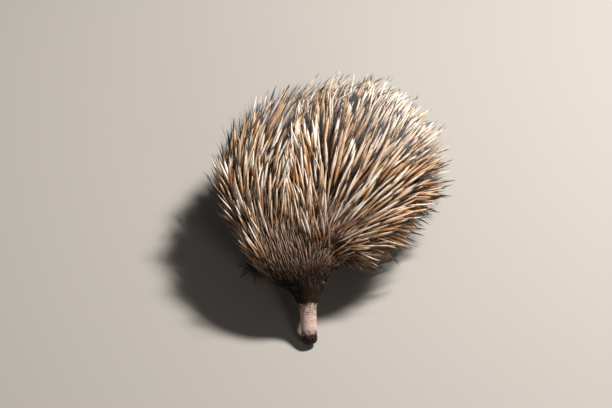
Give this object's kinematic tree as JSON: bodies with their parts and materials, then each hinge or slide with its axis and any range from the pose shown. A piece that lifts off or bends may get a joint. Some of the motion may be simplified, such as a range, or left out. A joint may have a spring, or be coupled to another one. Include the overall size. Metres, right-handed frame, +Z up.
{
  "type": "short-beaked echidna figure",
  "caption": "Still, life-size short-beaked echidna standing on four clawed feet, head down and beak to the ground, its back covered in spines.",
  "frame": {"origin": "middle of the bounding box on the floor, level with the soles", "axes": "+Z up, +Y from the beak towards the tail, +X on the animal's left side"},
  "size_m": [0.2974, 0.3996, 0.1579],
  "materials": {
    "bare_skin": "bare, finely creased grey-brown skin",
    "short_fur": "short dark brown fur",
    "spines": "smooth cream and amber spines with dark tips",
    "claw_horn": "dark, slightly worn horn",
    "eye": "wet, nearly black"
  },
  "bodies": {
    "root": {"beak": "bare_skin", "head": "short_fur", "neck": "spines", "torso": "spines", "tail": "spines", "eye_left": "eye", "eye_right": "eye", "ear_left": "bare_skin", "ear_right": "bare_skin", "leg_front_left": "short_fur", "foot_front_left": "bare_skin", "claw_front_left_1": "claw_horn", "claw_front_left_2": "claw_horn", "claw_front_left_3": "claw_horn", "claw_front_left_4": "claw_horn", "claw_front_left_5": "claw_horn", "leg_front_right": "short_fur", "foot_front_right": "bare_skin", "claw_front_right_1": "claw_horn", "claw_front_right_2": "claw_horn", "claw_front_right_3": "claw_horn", "claw_front_right_4": "claw_horn", "claw_front_right_5": "claw_horn", "leg_hind_left": "short_fur", "foot_hind_left": "bare_skin", "claw_hind_left_1": "claw_horn", "claw_hind_left_2": "claw_horn", "claw_hind_left_3": "claw_horn", "claw_hind_left_4": "claw_horn", "claw_hind_left_5": "claw_horn", "leg_hind_right": "short_fur", "foot_hind_right": "bare_skin", "claw_hind_right_1": "claw_horn", "claw_hind_right_2": "claw_horn", "claw_hind_right_3": "claw_horn", "claw_hind_right_4": "claw_horn", "claw_hind_right_5": "claw_horn"}
  },
  "joints": []
}
